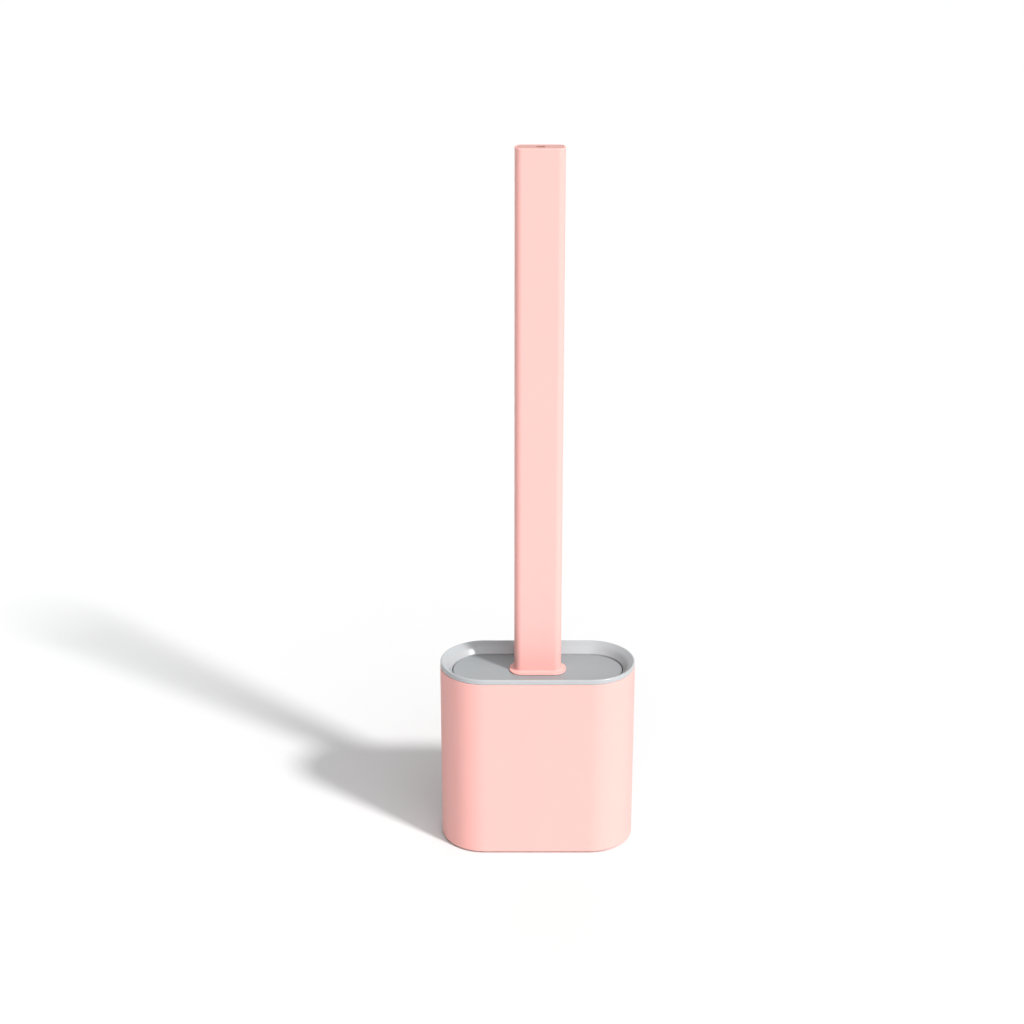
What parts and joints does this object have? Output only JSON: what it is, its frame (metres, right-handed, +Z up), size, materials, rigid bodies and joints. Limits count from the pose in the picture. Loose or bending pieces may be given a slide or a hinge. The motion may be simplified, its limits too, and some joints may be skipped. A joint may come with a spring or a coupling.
{
  "type": "toilet brush holder",
  "caption": "Obround holder with a lift-out grey liner; a flat-handled brush with a cover plate and soft bristled head stands in it.",
  "frame": {"origin": "on the floor, under the middle of the holder: the bottom centre of the bounding box", "axes": "+Z up along the handle, +X to the right along the holder's long side, +Y to the back"},
  "size_m": [0.105, 0.0486, 0.386],
  "materials": {
    "pink_plastic": "satin moulded",
    "cap_plastic": "satin moulded",
    "grey_plastic": "semi-gloss moulded",
    "plate_plastic": "satin moulded",
    "core_plastic": "satin moulded",
    "head_rubber": "soft matte",
    "foot_rubber": "matte",
    "screw_steel": "plain"
  },
  "bodies": {
    "holder": {"outer_shell": "pink_plastic", "base_plate": "grey_plastic", "foot_1": "foot_rubber", "foot_2": "foot_rubber", "foot_3": "foot_rubber", "foot_4": "foot_rubber"},
    "liner": {"inner_liner": "grey_plastic"},
    "brush": {"cover_plate": "plate_plastic", "handle": "pink_plastic", "handle_end_cap": "cap_plastic", "head_core": "core_plastic", "head_screw_left": "screw_steel", "head_screw_right": "screw_steel", "brush_head": "head_rubber"}
  },
  "joints": [
    {"name": "liner_lift", "type": "slide", "parent": "holder", "child": "liner", "axis": [0, 0, 1], "range_m": [0, 0.1]},
    {"name": "brush_lift", "type": "slide", "parent": "liner", "child": "brush", "axis": [0, 0, 1], "range_m": [0, 0.11]}
  ]
}
